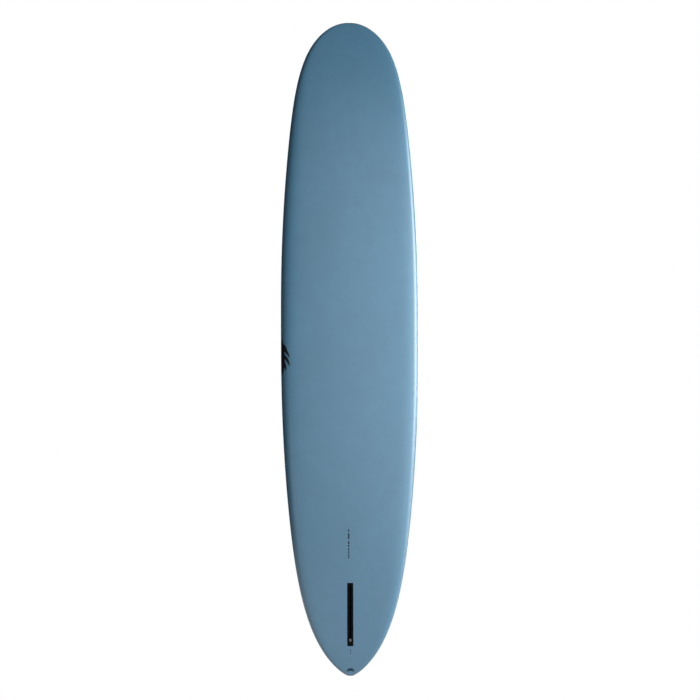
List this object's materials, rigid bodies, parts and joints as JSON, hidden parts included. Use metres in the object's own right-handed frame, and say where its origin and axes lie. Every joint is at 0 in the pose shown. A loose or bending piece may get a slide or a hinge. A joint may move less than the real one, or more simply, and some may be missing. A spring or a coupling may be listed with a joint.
{
  "type": "surfboard",
  "caption": "Pintail longboard with rounded nose, foam and wood core in tinted glass, a long centre fin box and a leash plug.",
  "frame": {"origin": "middle of the small flat end of the tail tip", "axes": "+Z from tail to nose, +X across the board, -Y out of the hull and +Y out of the deck"},
  "size_m": [0.586, 0.1298, 2.794],
  "materials": {
    "tinted_glass": "steel-blue resin tint over glass cloth, polished gloss",
    "foam": "shaped polyurethane foam",
    "stringer_wood": "planed softwood",
    "black_plastic": "moulded black plastic, sanded flush",
    "bedding_resin": "cured resin with filler",
    "steel_plate": "stainless steel, tumbled",
    "steel_screw": "stainless steel, machined",
    "steel_pin": "stainless steel, drawn rod",
    "black_print": "black ink on tissue under gloss resin",
    "grey_print": "ink dashes on tissue under gloss resin"
  },
  "bodies": {
    "board": {"bottom_laminate": "tinted_glass", "deck_laminate": "tinted_glass", "foam_core_left": "foam", "foam_core_right": "foam", "stringer": "stringer_wood", "fin_box": "black_plastic", "fin_box_bedding": "bedding_resin", "leash_plug_cup": "black_plastic", "leash_plug_pin": "steel_pin", "leash_plug_bedding": "bedding_resin", "rail_mark": "black_print", "centre_label": "grey_print", "tail_label": "grey_print"},
    "plate": {"fin_plate": "steel_plate"},
    "screw": {"fin_screw": "steel_screw"}
  },
  "joints": [
    {"name": "fin_plate_slide", "type": "slide", "parent": "board", "child": "plate", "axis": [0, -0.1013, 0.9949], "range_m": [0, 0.2328]},
    {"name": "fin_screw_turn", "type": "hinge", "parent": "plate", "child": "screw", "pos_m": [0, -0.02139, 0.15285], "axis": [0, -0.9949, -0.1013], "continuous": true}
  ]
}
